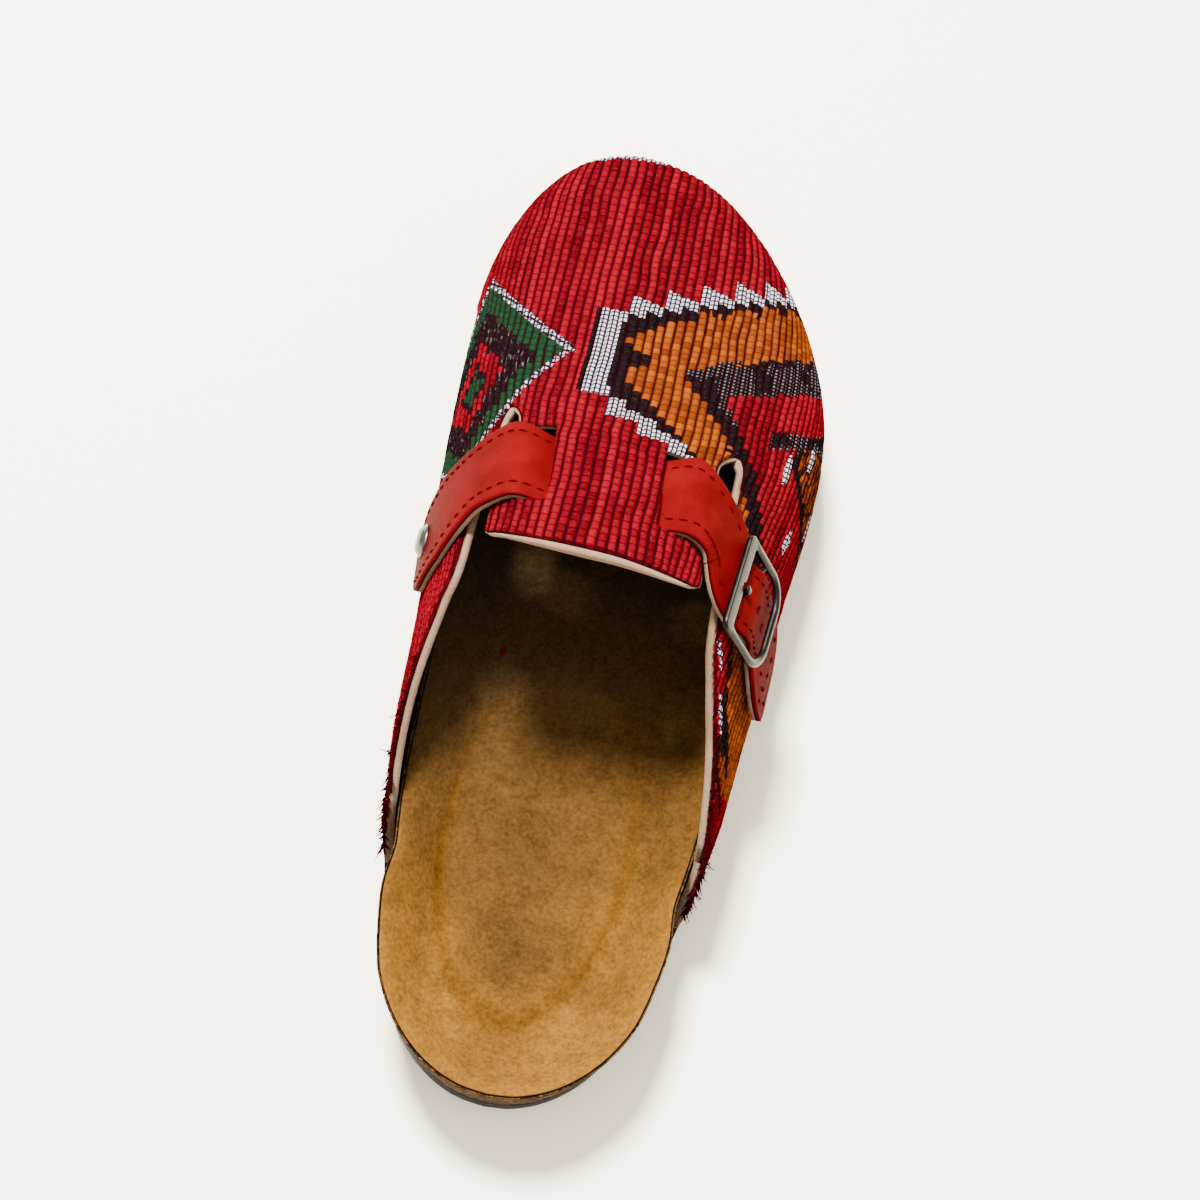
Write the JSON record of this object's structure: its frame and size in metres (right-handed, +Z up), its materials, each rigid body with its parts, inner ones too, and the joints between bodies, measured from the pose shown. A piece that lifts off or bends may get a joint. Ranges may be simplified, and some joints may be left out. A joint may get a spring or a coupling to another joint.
{
  "type": "clog",
  "caption": "Slip-on clog for the right foot with a cork footbed, a woven kilim upper and a leather strap that is riveted inside and buckled outside.",
  "frame": {"origin": "centre of the bounding box at ground level", "axes": "+Y from heel to toe, +X to the outer (lateral) side of the right foot, +Z up"},
  "size_m": [0.1013, 0.265, 0.1026],
  "materials": {
    "outsole": "matte foamed rubber",
    "cork": "pressed cork, speckled",
    "suede": "napped suede",
    "kilim": "ribbed wool weave with a leather lining",
    "strap_leather": "smooth leather",
    "nickel": "aged nickel"
  },
  "bodies": {
    "root": {"outsole": "outsole", "cork_footbed": "cork", "insole": "suede", "upper": "kilim", "strap": "strap_leather", "rivet": "nickel", "buckle_frame": "nickel", "buckle_prong": "nickel", "buckle_tab": "strap_leather"}
  },
  "joints": []
}
